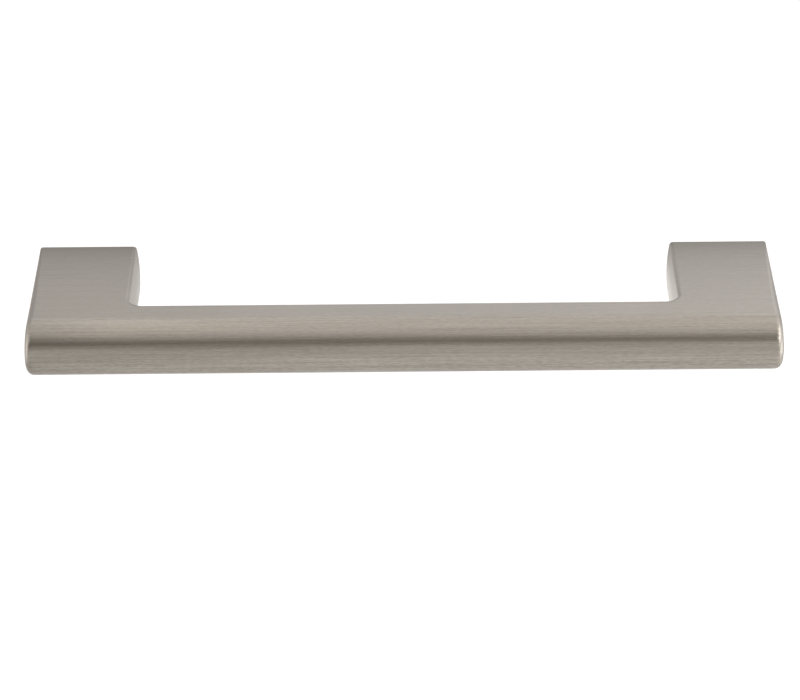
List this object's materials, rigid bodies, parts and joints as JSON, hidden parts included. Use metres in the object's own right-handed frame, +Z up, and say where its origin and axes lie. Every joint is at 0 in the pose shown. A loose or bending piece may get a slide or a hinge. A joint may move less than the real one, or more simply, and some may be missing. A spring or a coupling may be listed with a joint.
{
  "type": "bar cabinet pull",
  "caption": "One-piece bar pull for a cabinet door or drawer: a round-nosed bar with a square foot at each end and a blind threaded screw hole in each foot.",
  "frame": {"origin": "on the door's face, midway between the two screw holes", "axes": "+X along the bar, -Y out of the door towards the hand, +Y into the door, +Z up with the bar level"},
  "size_m": [0.148, 0.035, 0.0114],
  "materials": {
    "brushed_nickel": "zinc alloy casting with brushed satin nickel plating, brush lines along the bar"
  },
  "bodies": {
    "root": {"pull_handle": "brushed_nickel"}
  },
  "joints": []
}
